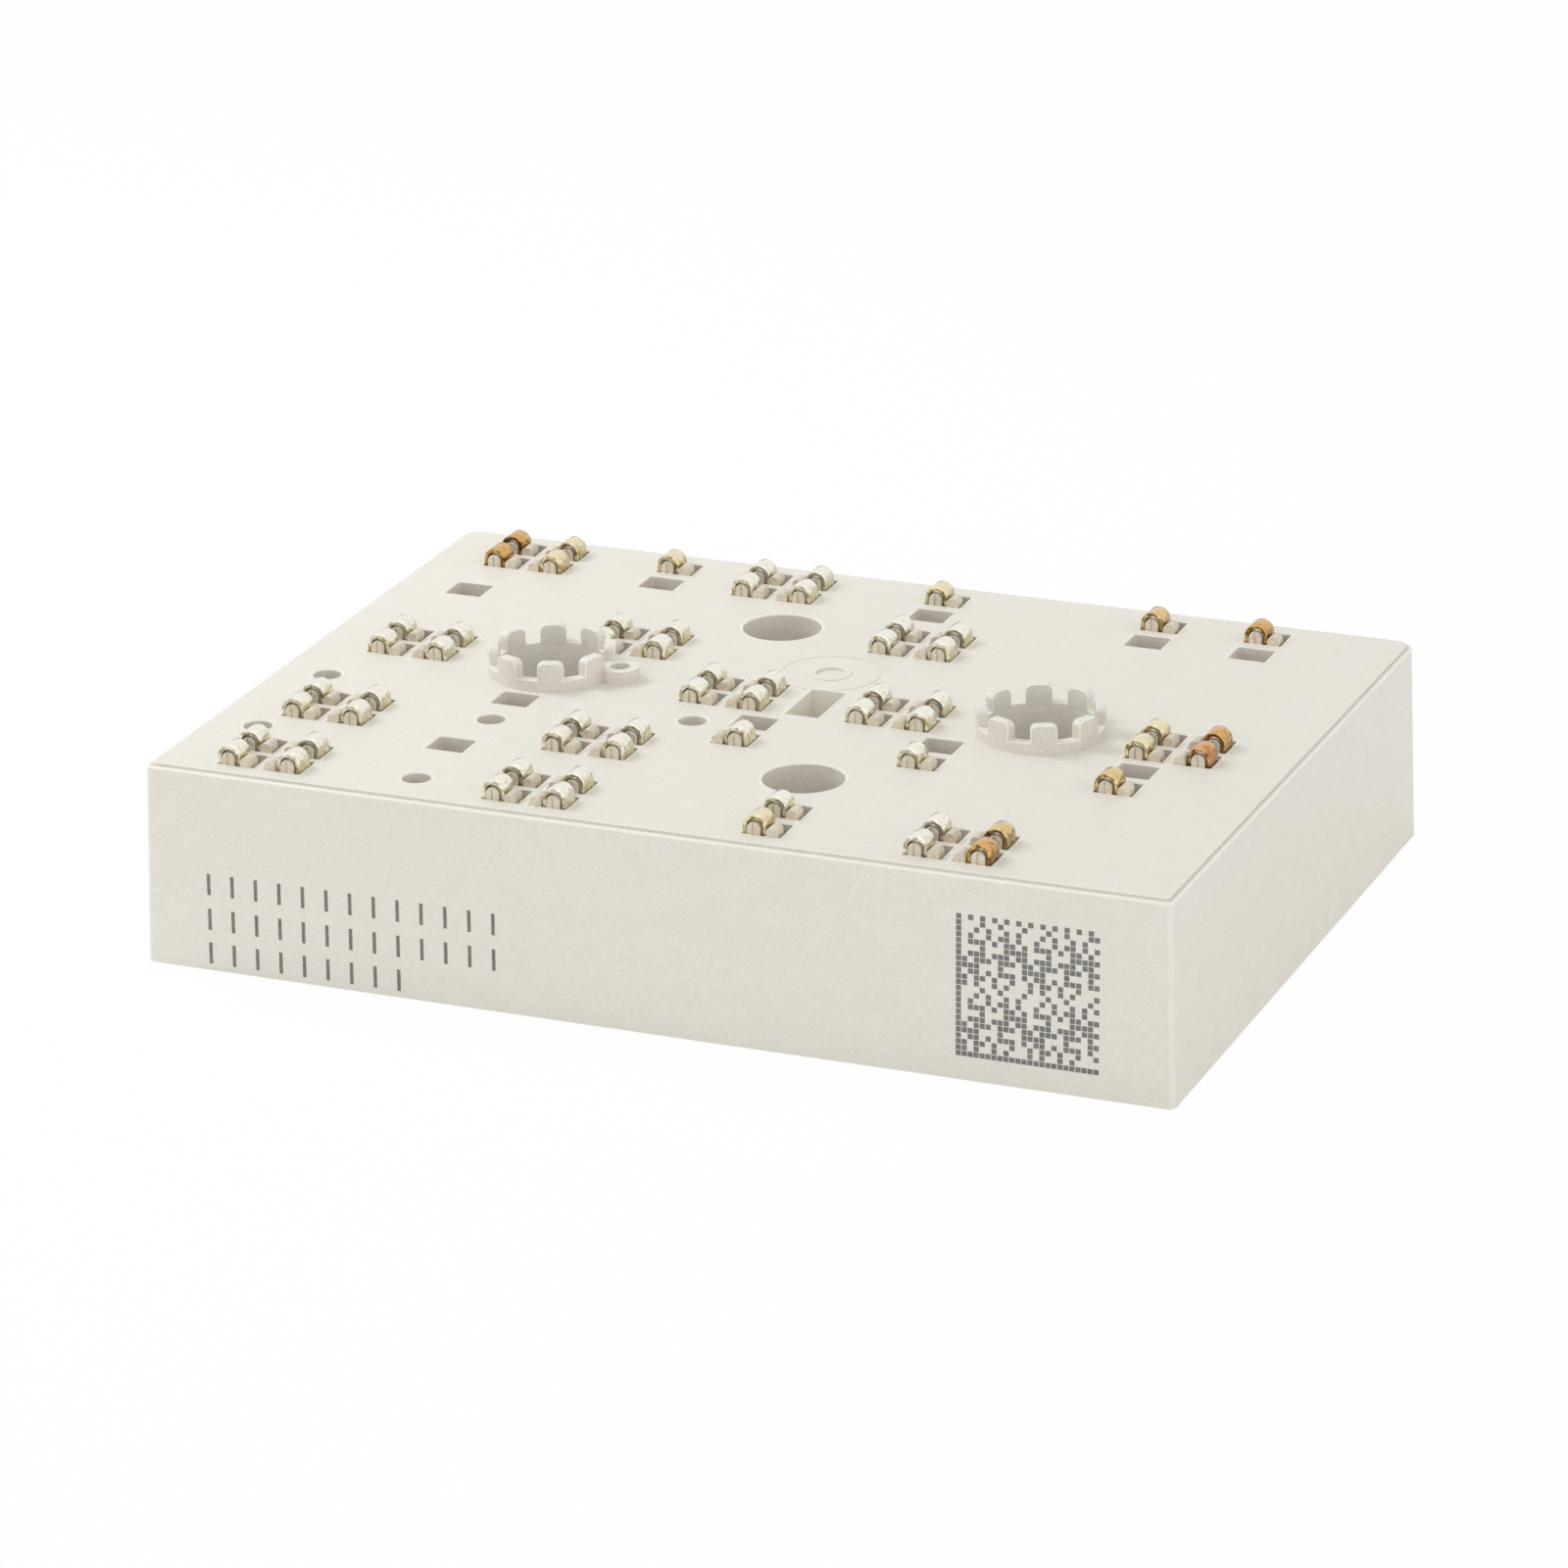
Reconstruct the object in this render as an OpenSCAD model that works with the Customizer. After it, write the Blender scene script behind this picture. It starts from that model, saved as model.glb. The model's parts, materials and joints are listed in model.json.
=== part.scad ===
// Power semiconductor module with spring contacts.
// A moulded housing with two castellated screw crowns holds curved contact springs in shafts.
// Each spring stands on a copper track of a ceramic plate, which carries the chips.
// Origin: centre of the footprint, at the underside of the ceramic plate's lower copper. +Z is up.

/* [Housing] */
// Length of the housing at its foot
body_l = 82; // [80:0.5:84]
// Depth of the housing at its foot
body_w = 59; // [57:0.5:61]
// Height of the rim above the heat sink
rim_z = 15.8; // [15:0.1:17]
// Height of the raised top face above the rim
plate_h = 0.2; // [0.1:0.05:0.4]
// How far each wall leans in from the foot to the rim
draft = 0.38; // [0.2:0.02:0.6]
// Distance from the rim's edge to the raised top face
rim_inset = 0.4; // [0.3:0.05:1]
// Radius of the two front corners
front_corner_r = 0.5; // [0.3:0.1:2]
// Radius of the two back corners
back_corner_r = 1.5; // [1:0.1:3]
// Thickness of the outer walls
wall = 2; // [1.5:0.1:2.2]
// Thickness of the top wall
roof = 2; // [1.5:0.1:3]

/* [Screw crowns] */
// Distance between the two screw crowns
crown_spacing = 40.3; // [40:0.1:41]
// Outer diameter of a crown
crown_d = 9.9; // [9.6:0.1:10.2]
// Inner diameter of a crown and of its recess
crown_bore = 8.3; // [8:0.1:8.5]
// Height of the teeth above the top face
crown_h = 2.3; // [1.8:0.1:2.6]
// Height of the notch floors above the top face
notch_z = 0.9; // [0.5:0.1:1.2]
// Number of teeth on each crown
crown_teeth = 8; // [8:1:8]
// Width of each notch at the crown's outside
notch_w = 1.8; // [1.5:0.1:2]
// Width of each notch at the bore
notch_bore_w = 1.2; // [1:0.1:1.4]
// Diameter of the screw holes
screw_d = 4.6; // [4.3:0.1:4.8]

/* [Spring windows] */
// Length of a window
window_l = 3; // [2.9:0.05:3.1]
// Depth of a window
window_w = 2.85; // [2.7:0.05:2.9]
// Distance between the two columns of a block
column_pitch = 3.82; // [3.8:0.01:3.9]
// Distance between the two rows of a block
row_pitch = 3.4; // [3.4:0.01:3.5]
// Distance between two windows of a single column
pair_pitch = 3.85; // [3.8:0.01:3.9]
// Wall around the windows inside the housing
shaft_wall = 0.8; // [0.6:0.1:0.9]

/* [Springs] */
// Thickness of the spring strip
strip_t = 0.3; // [0.25:0.01:0.32]
// Width of the spring strip
strip_w = 1.8; // [1.6:0.1:1.85]
// Height of the spring heads above the top face
head_h = 1.45; // [1.2:0.05:1.6]
// Outer width of a spring head
head_w = 1.85; // [1.7:0.05:1.9]

/* [Ceramic plate] */
// Length of the ceramic plate
ceramic_l = 78.8; // [78:0.1:79]
// Depth of the ceramic plate
ceramic_w = 55.8; // [55:0.1:56]
// Thickness of the ceramic
ceramic_t = 0.63; // [0.5:0.01:0.65]
// Thickness of each copper layer
copper_t = 0.3; // [0.2:0.01:0.3]

/* [Hidden] */
$fn = 48;
eps = 0.01;

foot_z = 0.1;                           // housing foot, clear of the heat sink
top_z = rim_z + plate_h;                // raised top face
roof_z = rim_z - roof;                  // underside of the top wall
seat_z = 1.3;                           // ledge that the ceramic plate is glued under
seat_gap = 0.3;                         // clearance around the ceramic plate
gel_z = 3.3;                            // surface of the gel
shaft_z = 3.6;                          // lower end of the spring shafts
blind_z = 9;                            // floor of the windows that hold no spring
slot_z = 13.2;                          // floor of the long one
well_floor_z = 8;                       // floor of the two round wells
crown_floor_z = 4;                      // floor of the crown recesses
screws = [[-crown_spacing / 2, 0], [crown_spacing / 2, 0]];
crown_column_r = crown_d / 2;
cavity = [body_l - 2 * wall, body_w - 2 * wall];

bead_edge = 0.2;                        // ceramic left free outside the adhesive, both sides
bead_w = 0.55;
copper_margin = 0.9;
lower_copper_z = 0;
ceramic_z = copper_t;
track_z = ceramic_z + ceramic_t;
chip_bed_z = track_z + copper_t;        // top of the upper copper
solder_t = 0.08;
chip_z = chip_bed_z + solder_t;
chip_t = 0.35;
wire_t = 0.3;
screw_clear_r = 2.8;                    // hole through ceramic and copper
track_clear_r = crown_column_r + 0.4;   // tracks stay clear of the crown columns

// Blocks of four springs: centre x, centre y
QUADS = [
    [-32.2, 24.15], [-10.55, 24.15], [-32.2, 2.15], [-16.3, 8.25], [4.7, 15.2],
    [-32.15, -13.2], [-4.9, 0.05], [8.75, 0.05], [-10.5, -13.2], [-32.1, -24.2],
    [31.2, 0], [-10.45, -24.15], [22.8, -24.05]
];
// One column of two springs: centre x, centre y
PAIR = [8.4, -23.85];
// Single springs beside an empty window: x, y of the spring, side of its head, y of the empty window
SINGLES = [
    [-20.25, 25.65, -1, 21.8], [2.85, 25.65, -1, 21.8], [21, 25.65, -1, 21.8],
    [29.55, 25.65, -1, 21.8], [-1.02, -9.2, 1, -5.45], [29.55, -9.2, -1, -5.45],
    [14, -9.2, -1, -5.45]
];
// Other windows that hold no spring: x, y, length, depth, floor
EMPTY = [
    [-34.2, 15.25, window_l, window_w, blind_z], [-20.2, -6.9, window_l, window_w, blind_z],
    [-20.7, -17.6, window_l, window_w, blind_z], [1.8, -0.05, 2.7, 5.75, slot_z]
];
WELLS = [[-7.1, 15.2], [7, -15.3]];
well_d = 6.2;
PEG_HOLES = [[-36.2, -6.8], [-36.2, -18.9], [-20.1, -11.6], [-20.1, -25], [-5.55, -6.7]];
peg_d = 2.2;
peg_floor_z = 13;
well_wall = 1;
peg_wall = 0.8;
lug = [-14.4, 0];                       // small ring beside the left crown
lug_d = 2.9;
lug_bore = 1.6;
lug_h = 1.1;
lug_floor_z = roof_z + 0.6;
gate = [0.4, 6.65];                     // moulding mark
gate_d = 3.3;
gate_bore = 2.3;
gate_h = 0.1;
gate_floor_z = top_z - 0.1;

// Chip pairs: x, y of the transistor, turn of the pair
CHIP_PAIRS = [
    [14, 15.7, 0], [20.4, 15.7, 0], [26.8, 15.7, 0], [33.2, 15.7, 0],
    [15, -15.8, 90], [28, -15.8, 90], [-24, 16, 90]
];
// Rectifier diodes: x, y, turn
RECTIFIERS = [
    [-24.6, -9, 0], [-18.2, -9, 0], [-24.6, -16.2, 0],
    [-18.2, -16.2, 0], [-8.8, 8.2, 90], [-1.6, 8.2, 90]
];
igbt_w = 5.2;
diode_w = 4.2;
rectifier_w = 4.4;
pair_step = 5.5;                        // transistor to its diode
emitter_step = 9.1;                     // transistor to its emitter track
rectifier_step = 3.6;                   // rectifier diode to its track
sensor = [-2, -16];
sensor_l = 3;
sensor_w = 1.4;
sensor_pad_x = 1.1;                     // middle of each of the sensor's two pads
wire_pitch = 1.4;                       // between the wires of one transistor
wire_gap = 0.05;                        // between a wire's end and what it stands on
pair_pocket = [5.6, 12.8, -3.6];        // gel pocket over a chip pair: length, depth, middle
rectifier_pocket = [5, 6.7, -0.9];
pocket_lip = 0.4;

// ---- Places of the springs: [x, y, side of the head] ----

function quad_springs(c) = [
    for (i = [-1, 1], j = [-1, 1]) [c[0] + i * column_pitch / 2, c[1] + j * row_pitch / 2, i]
];
function pair_springs(c) = [for (j = [-1, 1]) [c[0], c[1] + j * pair_pitch / 2, -1]];
function single_spring(s) = [s[0], s[1], s[2]];

ALL_SPRINGS = concat(
    [for (q = QUADS) each quad_springs(q)],
    pair_springs(PAIR),
    [for (s = SINGLES) single_spring(s)]
);

// ---- Strips bent from flat stock ----

function unit(v) = v / norm(v);
function arc(c, r, a0, a1, n) = [
    for (i = [0:n]) let (a = a0 + (a1 - a0) * i / n) c + r * [cos(a), sin(a)]
];
function heading(p, i) = unit(p[min(i + 1, len(p) - 1)] - p[max(i - 1, 0)]);
function beside(p, d) = [for (i = [0:len(p) - 1]) let (h = heading(p, i)) p[i] + d * [-h[1], h[0]]];
function reversed(p) = [for (i = [len(p) - 1:-1:0]) p[i]];

// A strip whose middle line is path, in the XZ plane, t thick and w wide along Y
module strip(path, t, w) {
    rotate([90, 0, 0])
        linear_extrude(w, center = true)
            polygon(concat(beside(path, t / 2), reversed(beside(path, -t / 2))));
}

module at(places) {
    for (p = places) translate([p[0], p[1], 0]) children();
}

module slab(l, w, z0, z1) {
    translate([-l / 2, -w / 2, z0]) cube([l, w, z1 - z0]);
}

// ---- Housing ----

head_r = (head_w - strip_t) / 2;        // middle line of the spring head
head_z = top_z + head_h - head_w / 2;   // centre of the head's arch
head_gap = 0.04;                        // between a head and its window's side
head_x = window_l / 2 - head_gap - head_w / 2;
head_leg_x = head_x - head_r;           // middle of the leg that goes down the shaft
head_end_z = top_z - 0.9;               // where the head's free end curls in
strip_y = -0.35;                        // strip's middle
finger_w = 1.05;
finger_t = 0.55;
finger_h = 0.95;                        // finger's top above the top face
groove_w = 0.16;                        // groove down the finger's front
groove_t = 0.2;
finger_foot_z = top_z - 0.6;            // clear of the head's free end
wedge_l = 0.9;
wedge_w = 1.3;
wedge_h = 0.7;                          // wedge's top above the top face
wedge_round = 0.3;                      // slant at its two upper edges
wedge_foot_z = top_z - 1.9;
wedge_gap = 0.05;                       // between the wedge and the spring's leg

module outer_shell() {
    lean = draft;
    hull()
        for (sx = [-1, 1], sy = [-1, 1], level = [0, 1]) {
            r = sy < 0 ? front_corner_r : back_corner_r;
            inset = r + lean * level;
            translate([sx * (body_l / 2 - inset), sy * (body_w / 2 - inset),
                level == 0 ? foot_z : rim_z - eps])
                cylinder(h = eps, r = r, $fn = 32);
        }
    inset = draft + rim_inset;
    slab(body_l - 2 * inset, body_w - 2 * inset, rim_z - 1, top_z);
}

module shaft_blocks() {
    block_l = column_pitch + window_l + 2 * shaft_wall;
    block_w = row_pitch + window_w + 2 * shaft_wall;
    at(QUADS) slab(block_l, block_w, shaft_z, roof_z + eps);
    single_l = window_l + 2 * shaft_wall;
    translate([PAIR[0], PAIR[1], 0])
        slab(single_l, pair_pitch + window_w + 2 * shaft_wall, shaft_z, roof_z + eps);
    for (s = SINGLES) {
        translate([s[0], s[1], 0])
            slab(single_l, window_w + 2 * shaft_wall, shaft_z, roof_z + eps);
        translate([s[0], s[3], 0])
            slab(single_l, window_w + 2 * shaft_wall, blind_z - 1, roof_z + eps);
    }
    for (e = EMPTY)
        translate([e[0], e[1], 0])
            slab(e[2] + 2 * shaft_wall, e[3] + 2 * shaft_wall, e[4] - 1, roof_z + eps);
}

module window_cuts() {
    at(ALL_SPRINGS) slab(window_l, window_w, shaft_z - 1, top_z + 1);
    for (s = SINGLES)
        translate([s[0], s[3], 0]) slab(window_l, window_w, blind_z, top_z + 1);
    for (e = EMPTY)
        translate([e[0], e[1], 0]) slab(e[2], e[3], e[4], top_z + 1);
}

// Round finger that stands inside each spring head, and the wedge beside it
module spring_guide(side) {
    front = -window_w / 2 - eps;
    dome_z = top_z + finger_h - finger_w / 2;
    difference() {
        union() {
            translate([side * head_x - finger_w / 2, front, finger_foot_z])
                cube([finger_w, finger_t, dome_z - finger_foot_z]);
            translate([side * head_x, front, dome_z])
                rotate([-90, 0, 0]) cylinder(h = finger_t, d = finger_w);
        }
        translate([side * head_x - groove_w / 2, front - 1, top_z])
            cube([groove_w, 1 + groove_t, 2 * finger_h]);
    }
    wedge_x = head_leg_x - strip_t / 2 - wedge_gap;
    wedge_end_x = wedge_x - wedge_l;
    translate([0, front + wedge_w, 0])
        rotate([90, 0, 0])
            linear_extrude(wedge_w)
                polygon([
                    [side * wedge_x, wedge_foot_z],
                    [side * wedge_x, top_z + wedge_h - wedge_round],
                    [side * (wedge_x - wedge_round), top_z + wedge_h],
                    [side * (wedge_end_x + wedge_round), top_z + wedge_h],
                    [side * wedge_end_x, top_z + wedge_h - wedge_round],
                    [side * wedge_end_x, wedge_foot_z]
                ]);
}

// Half the width of a notch, r from the crown's middle
function notch_half(r) =
    notch_w / 2 + (r - crown_d / 2) * (notch_w - notch_bore_w) / (crown_d - crown_bore);

module notch() {
    inner_r = crown_bore / 2 - 0.5;
    outer_r = crown_d / 2 + 0.5;
    linear_extrude(crown_h)
        polygon([
            [inner_r, -notch_half(inner_r)], [outer_r, -notch_half(outer_r)],
            [outer_r, notch_half(outer_r)], [inner_r, notch_half(inner_r)]
        ]);
}

module crown() {
    tooth_turn = 360 / crown_teeth;
    difference() {
        translate([0, 0, track_z]) cylinder(h = top_z + crown_h - track_z, d = crown_d);
        for (k = [0:crown_teeth - 1])
            rotate(k * tooth_turn) translate([0, 0, top_z + notch_z]) notch();
    }
}

module housing_body() {
    difference() {
        outer_shell();
        slab(cavity[0], cavity[1], 0, roof_z);
        slab(ceramic_l + 2 * seat_gap, ceramic_w + 2 * seat_gap, 0, seat_z);
    }
    intersection() {
        shaft_blocks();
        slab(body_l - wall, body_w - wall, 0, top_z);
    }
    at(screws) crown();
    at(WELLS) translate([0, 0, well_floor_z - 1])
        cylinder(h = roof_z - well_floor_z + 1 + eps, d = well_d + 2 * well_wall);
    at(PEG_HOLES) translate([0, 0, peg_floor_z - 1])
        cylinder(h = roof_z - peg_floor_z + 1 + eps, d = peg_d + 2 * peg_wall);
    translate([lug[0], lug[1], roof_z]) cylinder(h = top_z + lug_h - roof_z, d = lug_d);
    translate([gate[0], gate[1], roof_z]) cylinder(h = top_z + gate_h - roof_z, d = gate_d);
}

module housing() {
    color("ivory") {
        difference() {
            housing_body();
            window_cuts();
            at(screws) translate([0, 0, crown_floor_z])
                cylinder(h = top_z + crown_h, d = crown_bore);
            at(screws) cylinder(h = crown_floor_z + 1, d = screw_d);
            at(WELLS) translate([0, 0, well_floor_z]) cylinder(h = top_z, d = well_d);
            at(PEG_HOLES) translate([0, 0, peg_floor_z]) cylinder(h = top_z, d = peg_d);
            translate([lug[0], lug[1], lug_floor_z]) cylinder(h = top_z, d = lug_bore);
            translate([gate[0], gate[1], gate_floor_z]) cylinder(h = 1, d = gate_bore);
        }
        for (s = ALL_SPRINGS) translate([s[0], s[1], 0]) spring_guide(s[2]);
    }
}

// ---- Ceramic plate and what lies on it ----

module screw_clearance(r) {
    at(screws) translate([0, 0, -1]) cylinder(h = 10, r = r);
}

module ceramic_plate() {
    color("white")
        difference() {
            slab(ceramic_l, ceramic_w, ceramic_z, track_z);
            screw_clearance(screw_clear_r);
        }
}

module lower_copper() {
    color("peru")
        difference() {
            slab(ceramic_l - 2 * copper_margin, ceramic_w - 2 * copper_margin, lower_copper_z, ceramic_z);
            screw_clearance(screw_clear_r + 0.6);
        }
}

module adhesive_bead() {
    color("gainsboro")
        difference() {
            slab(ceramic_l - bead_edge, ceramic_w - bead_edge, track_z, seat_z);
            slab(ceramic_l - bead_edge - 2 * bead_w, ceramic_w - bead_edge - 2 * bead_w, 0, gel_z);
        }
}

module place(p) {
    translate([p[0], p[1], 0]) rotate(p[2]) children();
}

module track(l, w) {
    slab(l, w, track_z, chip_bed_z);
}

module upper_copper_tracks() {
    island_l = 6;
    island_w = 11;
    island_y = 0.25 - pair_step / 2;
    strip_track_w = 1.2;
    rectifier_pad = rectifier_w + 0.6;
    pad = 4.2;
    color("peru")
        difference() {
            intersection() {
                slab(ceramic_l - 2 * copper_margin, ceramic_w - 2 * copper_margin, 0, gel_z);
                union() {
                    at(QUADS) track(column_pitch + pad, row_pitch + pad);
                    translate([PAIR[0], PAIR[1], 0]) track(pad, pair_pitch + pad);
                    at(SINGLES) track(pad, pad);
                    for (p = CHIP_PAIRS)
                        place(p) {
                            translate([0, island_y, 0]) track(island_l, island_w);
                            translate([0, -emitter_step, 0]) track(island_l, strip_track_w);
                        }
                    for (p = RECTIFIERS)
                        place(p) {
                            track(rectifier_pad, rectifier_pad);
                            translate([0, -rectifier_step, 0]) track(rectifier_pad, strip_track_w);
                        }
                    for (i = [-1, 1])
                        translate([sensor[0] + i * sensor_pad_x, sensor[1], 0])
                            track(strip_track_w, 1.8);
                }
            }
            screw_clearance(track_clear_r);
        }
}

module chip(w) {
    slab(w, w, chip_z, chip_z + chip_t);
}

module transistor(i) {
    color("dimgray") place(CHIP_PAIRS[i]) chip(igbt_w);
}

module freewheel_diode(i) {
    color("slategray") place(CHIP_PAIRS[i]) translate([0, -pair_step, 0]) chip(diode_w);
}

module rectifier_diode(i) {
    color("darkgray") place(RECTIFIERS[i]) chip(rectifier_w);
}

module temperature_sensor() {
    color("darkolivegreen") translate(sensor) slab(sensor_l, sensor_w, chip_z, chip_z + 0.7);
}

module solder_layer() {
    lip = 0.3;
    color("silver") {
        for (p = CHIP_PAIRS)
            place(p) {
                slab(igbt_w + lip / 2, igbt_w + lip / 2, chip_bed_z, chip_z);
                translate([0, -pair_step, 0]) slab(diode_w + lip, diode_w + lip, chip_bed_z, chip_z);
            }
        for (p = RECTIFIERS) place(p) slab(rectifier_w + lip, rectifier_w + lip, chip_bed_z, chip_z);
        for (i = [-1, 1])
            translate([sensor[0] + i * sensor_pad_x, sensor[1], 0])
                slab(0.8, sensor_w, chip_bed_z, chip_z);
    }
}

// A wire that runs toward -Y from one height to another, arched over the gap between
module bond_wire(run, z0, z1) {
    rise = 0.9;
    steps = 8;
    path = [for (i = [0:steps]) let (u = i / steps)
        [run * u, z0 + (z1 - z0) * u + wire_t / 2 + rise * sin(180 * u)]];
    rotate(-90) strip(path, wire_t, wire_t);
}

module transistor_wires() {
    top = chip_z + chip_t + wire_gap;
    color("lightgray")
        for (p = CHIP_PAIRS)
            place(p)
                for (x = [-wire_pitch, 0, wire_pitch]) {
                    translate([x, 0, 0]) bond_wire(pair_step - 1, top, top);
                    translate([x, 3.2 - emitter_step, 0])
                        bond_wire(emitter_step - pair_step - 0.4, top, chip_bed_z + wire_gap);
                }
}

module rectifier_wires() {
    color("lightgray")
        for (p = RECTIFIERS)
            place(p)
                for (x = [-1, 1])
                    translate([x, -0.5, 0])
                        bond_wire(rectifier_step - 0.5, chip_z + chip_t + wire_gap, chip_bed_z + wire_gap);
}

module pocket(size, z) {
    translate([0, size[2], 0]) slab(size[0], size[1], 0, z);
}

module silicone_gel() {
    pocket_z = gel_z - 0.15;
    color("lightcyan", 0.4)
        difference() {
            slab(cavity[0], cavity[1], seat_z, gel_z);
            at(ALL_SPRINGS) slab(window_l, window_w, 0, gel_z + 1);
            screw_clearance(crown_column_r);
            for (p = CHIP_PAIRS) place(p) pocket(pair_pocket, pocket_z);
            for (p = RECTIFIERS) place(p) pocket(rectifier_pocket, pocket_z);
            translate(sensor) slab(sensor_l + pocket_lip, sensor_w + pocket_lip, 0, pocket_z);
        }
}

// ---- Springs ----

function spring_path() =
    let (
        foot_r = 0.7,
        foot_z = chip_bed_z + strip_t / 2 + foot_r,
        leg_z = wedge_foot_z - 0.1,
        hook_r = 0.3,
        sway = 0.75,
        steps = 18
    )
    concat(
        arc([0, foot_z], foot_r, 200, 350, 6),
        [for (i = [0:steps]) let (u = i / steps)
            [foot_r + (head_leg_x - foot_r) * u - sway * sin(180 * u) * sin(540 * u),
            foot_z + (leg_z - foot_z) * u]],
        reversed(arc([head_x, head_z], head_r, 0, 180, 10)),
        arc([head_x + head_r - hook_r, head_end_z], hook_r, 0, -130, 4)
    );

module springs(places) {
    color("goldenrod")
        for (s = places)
            translate([s[0], s[1] + strip_y, 0])
                mirror([s[2] > 0 ? 0 : 1, 0, 0])
                    strip(spring_path(), strip_t, strip_w);
}

// ---- The nodes ----

housing();
adhesive_bead();
ceramic_plate();
lower_copper();
upper_copper_tracks();
solder_layer();
silicone_gel();
transistor_wires();
rectifier_wires();
temperature_sensor();
for (i = [0:len(CHIP_PAIRS) - 1]) {
    transistor(i);
    freewheel_diode(i);
}
for (i = [0:len(RECTIFIERS) - 1])
    rectifier_diode(i);
for (i = [0:len(QUADS) - 1])
    springs(quad_springs(QUADS[i]));
springs(pair_springs(PAIR));  // spring_pair
for (i = [0:len(SINGLES) - 1])
    springs([single_spring(SINGLES[i])]);
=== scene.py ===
"""Looks of a power semiconductor module with spring contacts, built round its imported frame.

The frame gives the places: the springs, the crowns, the wells and the ceramic plate are read from it.
The housing and the springs modelled here stand for the plain CAD nodes. The crown teeth, the lips,
the guides and the marks are added to them, and the hidden nodes only get their materials.
"""

import json
import math

import bpy
from mathutils import Matrix, Vector


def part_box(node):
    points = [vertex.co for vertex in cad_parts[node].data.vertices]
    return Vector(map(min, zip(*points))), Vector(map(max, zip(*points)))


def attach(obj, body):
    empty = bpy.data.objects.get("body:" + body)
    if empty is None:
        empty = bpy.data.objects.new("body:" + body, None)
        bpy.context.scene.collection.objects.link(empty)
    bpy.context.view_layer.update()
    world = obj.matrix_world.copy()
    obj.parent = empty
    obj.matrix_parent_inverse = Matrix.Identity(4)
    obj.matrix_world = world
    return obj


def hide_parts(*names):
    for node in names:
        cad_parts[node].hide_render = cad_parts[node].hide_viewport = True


MM = 0.001

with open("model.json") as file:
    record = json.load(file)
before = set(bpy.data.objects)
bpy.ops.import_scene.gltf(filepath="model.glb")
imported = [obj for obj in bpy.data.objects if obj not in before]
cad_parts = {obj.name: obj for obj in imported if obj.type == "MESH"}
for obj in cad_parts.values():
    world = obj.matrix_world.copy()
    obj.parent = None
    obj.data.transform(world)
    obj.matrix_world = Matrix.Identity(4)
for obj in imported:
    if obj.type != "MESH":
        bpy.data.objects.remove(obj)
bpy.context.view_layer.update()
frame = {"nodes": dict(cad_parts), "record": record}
mounts = {mount["name"]: Vector(mount["pos_m"]) for mount in frame["record"]["mounts"]}

# ---- Sizes, in metres ----

# The housing's walls, rim and roof
housing_low, housing_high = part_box("housing")
FOOT = housing_high.xy - housing_low.xy  # length and depth at the foot
FOOT_Z = housing_low.z
RIM_Z = 15.8 * MM
TOP_Z = 16.0 * MM  # raised top face
DRAFT = 0.38 * MM  # lean of each wall from foot to rim
RIM_INSET = 0.4 * MM  # from the rim's edge to the raised top face
RIM_ROUND = 0.2 * MM  # rounding between the walls and the rim
EDGE_ROUND = 0.08 * MM  # rounding of every other edge
FRONT_CORNER_R = 0.5 * MM
BACK_CORNER_R = 1.5 * MM
TOP_FRONT_R = 0.35 * MM  # the raised top face's own corners
TOP_BACK_R = 1.0 * MM
WALL = 2.0 * MM
ROOF_Z = RIM_Z - 2.0 * MM  # underside of the roof
SEAT_Z = 1.3 * MM  # top of the ceramic plate's seat
SEAT_GAP = 0.3 * MM
LAP = 0.2 * MM  # how far pieces run into each other before they are joined
PAST = 1.0 * MM  # how far a cut runs past the surface that it opens
FLOOR_T = 1.0 * MM  # floors of the wells, peg holes and blind windows

# Spring windows and their shafts
WINDOW = Vector((3.0 * MM, 2.85 * MM))
SHAFT_WALL = 0.8 * MM
SHAFT_Z = 3.6 * MM
BLIND_Z = 9.0 * MM  # floor of a window that holds no spring

# Windows that hold no spring and stand alone: middle in millimetres
BLIND_WINDOWS = [(-34.2, 15.25), (-20.2, -6.9), (-20.7, -17.6)]
# Empty window beside each single spring: y in millimetres
SINGLE_NEIGHBOUR_Y = [21.8] * 4 + [-5.45] * 3
# Long shallow slot beside the gate mark
SLOT = Vector((1.8 * MM, -0.05 * MM))
SLOT_L = 2.7 * MM
SLOT_W = 5.75 * MM
SLOT_REACH = 3.5 * MM  # a circle round the slot
SLOT_Z = 13.2 * MM

# Screw crowns
CROWN_R = 4.95 * MM
CROWN_BORE_R = 4.15 * MM
CROWN_FOOT_Z = 1.0 * MM
CROWN_FLOOR_Z = 4.0 * MM
CROWN_TOP_Z = TOP_Z + 2.3 * MM
CROWN_TEETH = 8
NOTCH_Z = TOP_Z + 0.9 * MM  # floor of the notches between the teeth
TOOTH_FOOT_Z = NOTCH_Z - 0.3 * MM  # the teeth run this deep into the crown's ring
TOOTH_W = 2.05 * MM
TOOTH_PROUD = 0.005 * MM  # keeps a tooth's faces off the ring's
TOOTH_CORNER_R = 0.55 * MM
TOOTH_ROUND = 0.13 * MM
TOOTH_SLICES = 8
SCREW_R = 2.3 * MM
SKY_Z = CROWN_TOP_Z + PAST

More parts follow.
